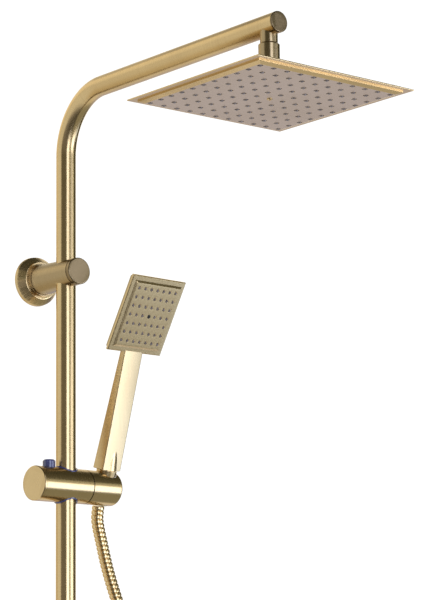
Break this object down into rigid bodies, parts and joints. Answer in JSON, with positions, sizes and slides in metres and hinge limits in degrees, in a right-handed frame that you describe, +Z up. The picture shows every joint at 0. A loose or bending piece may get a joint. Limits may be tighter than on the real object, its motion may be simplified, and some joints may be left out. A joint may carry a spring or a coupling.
{
  "type": "rainfall shower column",
  "caption": "Wall-mounted shower column with a bent riser, square overhead head, sliding holder, square hand shower, metal hose and diverter.",
  "frame": {"origin": "middle of the lower bracket's inlet, on the wall plane", "axes": "+X to the right along the wall seen from the room, +Y into the wall along the inlet, +Z up"},
  "size_m": [0.299, 0.526, 1.526],
  "materials": {
    "brushed_gold": "brushed satin",
    "dark_gold": "brushed satin",
    "hose_gold": "polished interlock",
    "nozzle_rubber": "matte",
    "seal_rubber": "matte",
    "blue_plastic": "glossy",
    "white_plastic": "matte",
    "steel": "brushed"
  },
  "bodies": {
    "root": {"riser_arm_tube": "brushed_gold", "arm_end_cap": "dark_gold", "outlet_stub": "brushed_gold", "ball_joint_collar": "brushed_gold", "upper_wall_flange": "brushed_gold", "upper_wall_plate": "steel", "upper_bracket_post": "brushed_gold", "upper_bracket_cap": "brushed_gold", "riser_clamp_pad": "white_plastic", "upper_grub_screw": "steel", "lower_wall_flange": "brushed_gold", "inlet_tail": "steel", "inlet_seal": "seal_rubber", "diverter_body": "brushed_gold", "riser_nut": "brushed_gold", "riser_seal": "seal_rubber", "diverter_cartridge": "white_plastic", "diverter_gland_nut": "brushed_gold", "hose_outlet": "brushed_gold", "shower_hose": "hose_gold", "hose_union_nut": "brushed_gold", "hose_ferrule_lower": "brushed_gold", "hose_washer_lower": "seal_rubber"},
    "head_liner": {"ball_liner": "white_plastic"},
    "head_nut": {"head_swivel_nut": "brushed_gold"},
    "rain_head": {"head_inlet_boss": "brushed_gold", "head_retaining_ring": "steel", "head_filter_washer": "seal_rubber", "head_back_plate": "brushed_gold", "head_frame": "brushed_gold", "head_face_plate": "brushed_gold", "head_nozzle_mat": "nozzle_rubber", "head_centre_screw": "brushed_gold"},
    "diverter_handle": {"diverter_spindle": "brushed_gold", "diverter_knob": "brushed_gold", "knob_lever": "brushed_gold", "knob_grub_screw": "steel"},
    "carriage": {"slider_bush": "blue_plastic"},
    "slider": {"slider_body": "brushed_gold", "slider_end_cap": "dark_gold", "button_spring": "steel", "swivel_shaft": "steel", "swivel_washer": "seal_rubber"},
    "button": {"release_button": "blue_plastic"},
    "holder": {"handset_holder": "brushed_gold", "holder_liner": "white_plastic", "swivel_grub_screw": "steel"},
    "hose_cone": {"hose_cone_nut": "brushed_gold", "hose_ferrule_upper": "steel", "hose_washer_upper": "seal_rubber"},
    "handset": {"handset_handle": "brushed_gold", "handset_back_shell": "brushed_gold", "handset_frame": "brushed_gold", "handset_face_plate": "brushed_gold", "handset_nozzle_mat": "nozzle_rubber", "handset_centre_screw": "seal_rubber", "flow_restrictor": "white_plastic"}
  },
  "joints": [
    {"name": "head_tilt_front", "type": "hinge", "parent": "root", "child": "head_liner", "pos_m": [0, -0.41, 1.099], "axis": [1, 0, 0], "range_deg": [-12, 12]},
    {"name": "head_tilt_side", "type": "hinge", "parent": "head_liner", "child": "head_nut", "pos_m": [0, -0.41, 1.099], "axis": [0, 1, 0], "range_deg": [-12, 12]},
    {"name": "head_turn", "type": "hinge", "parent": "head_nut", "child": "rain_head", "pos_m": [0, -0.41, 1.099], "axis": [0, 0, 1], "continuous": true},
    {"name": "diverter_turn", "type": "hinge", "parent": "root", "child": "diverter_handle", "pos_m": [0, -0.1, 0], "axis": [0, -1, 0], "range_deg": [0, 90]},
    {"name": "slider_slide", "type": "slide", "parent": "root", "child": "carriage", "axis": [0, 0, 1], "range_m": [-0.4, 0.18], "deforming": ["shower_hose"]},
    {"name": "slider_turn", "type": "hinge", "parent": "carriage", "child": "slider", "pos_m": [0, -0.06, 0.713], "axis": [0, 0, 1], "range_deg": [-60, 20], "deforming": ["shower_hose"]},
    {"name": "button_press", "type": "slide", "parent": "slider", "child": "button", "axis": [0, 0, -1], "range_m": [0, 0.0035], "stiffness_N_per_m": 500, "springref_m": -0.003, "deforming": ["button_spring"]},
    {"name": "holder_tilt", "type": "hinge", "parent": "slider", "child": "holder", "pos_m": [0, -0.06, 0.713], "axis": [0.9945, 0.1045, 0], "range_deg": [-8, 45], "deforming": ["shower_hose"]},
    {"name": "handset_lift", "type": "slide", "parent": "holder", "child": "hose_cone", "axis": [0.0321, -0.3057, 0.9516], "range_m": [0, 0.045], "deforming": ["shower_hose"]},
    {"name": "handset_turn", "type": "hinge", "parent": "hose_cone", "child": "handset", "pos_m": [0.0547, -0.05425, 0.713], "axis": [0.0321, -0.3057, 0.9516], "range_deg": [-90, 90]}
  ]
}
